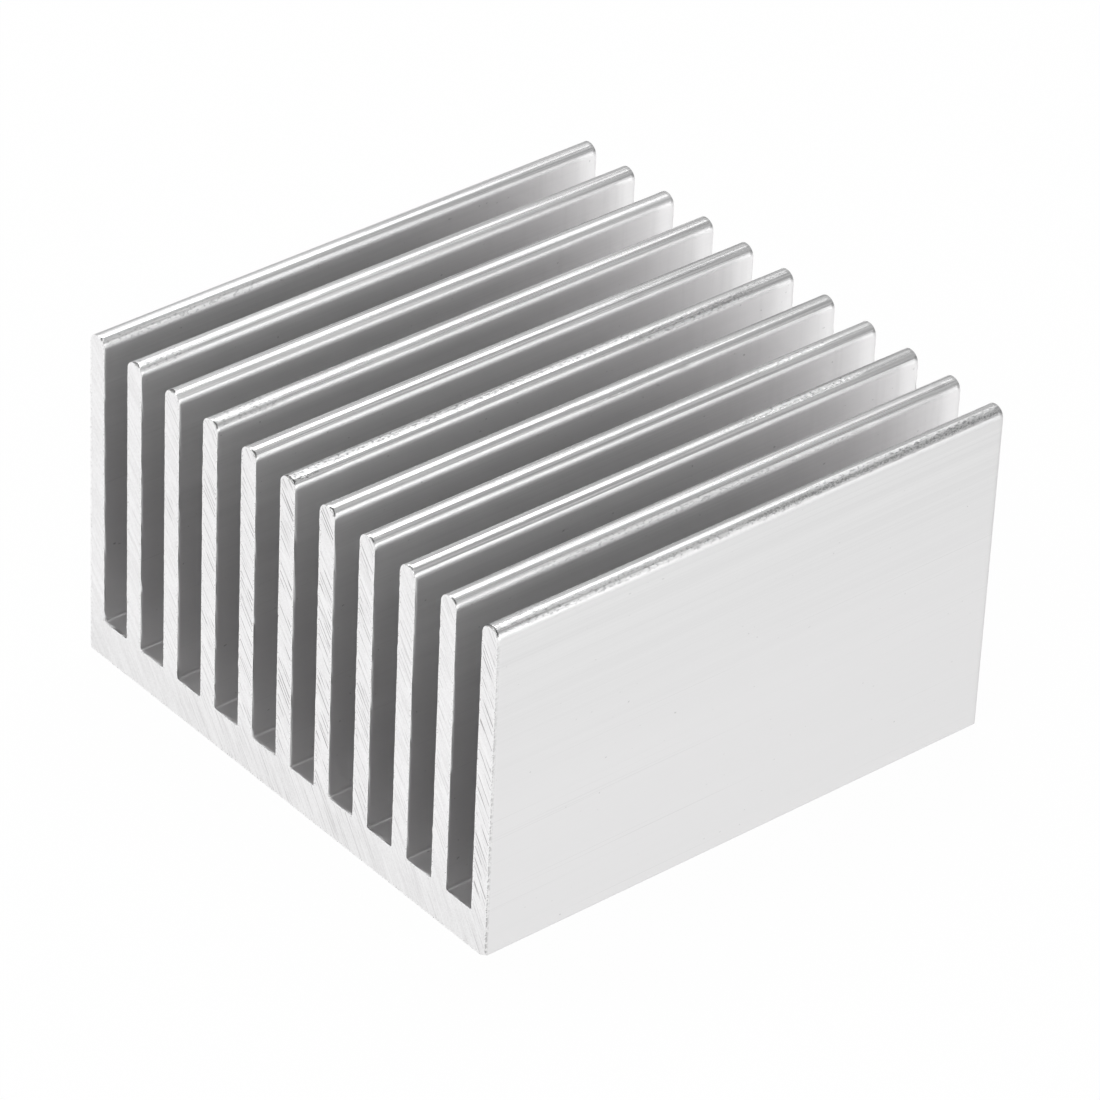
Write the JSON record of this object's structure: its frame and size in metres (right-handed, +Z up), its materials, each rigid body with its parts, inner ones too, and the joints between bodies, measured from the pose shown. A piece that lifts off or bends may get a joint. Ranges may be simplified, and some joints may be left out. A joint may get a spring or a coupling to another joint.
{
  "type": "heat sink",
  "caption": "Extruded aluminium heat sink with a flat base and a row of straight upright fins, sawn to length, for cooling a chip or power device by contact.",
  "frame": {"origin": "middle of the flat underside", "axes": "+X across the fins, +Y along the extrusion and its slots, +Z up from the underside to the fin tips"},
  "size_m": [0.05, 0.05, 0.03],
  "materials": {
    "bare_aluminium": "bare as extruded, with fine lengthwise die lines and bright fin tips; end faces sawn"
  },
  "bodies": {
    "root": {"heat_sink": "bare_aluminium"}
  },
  "joints": []
}
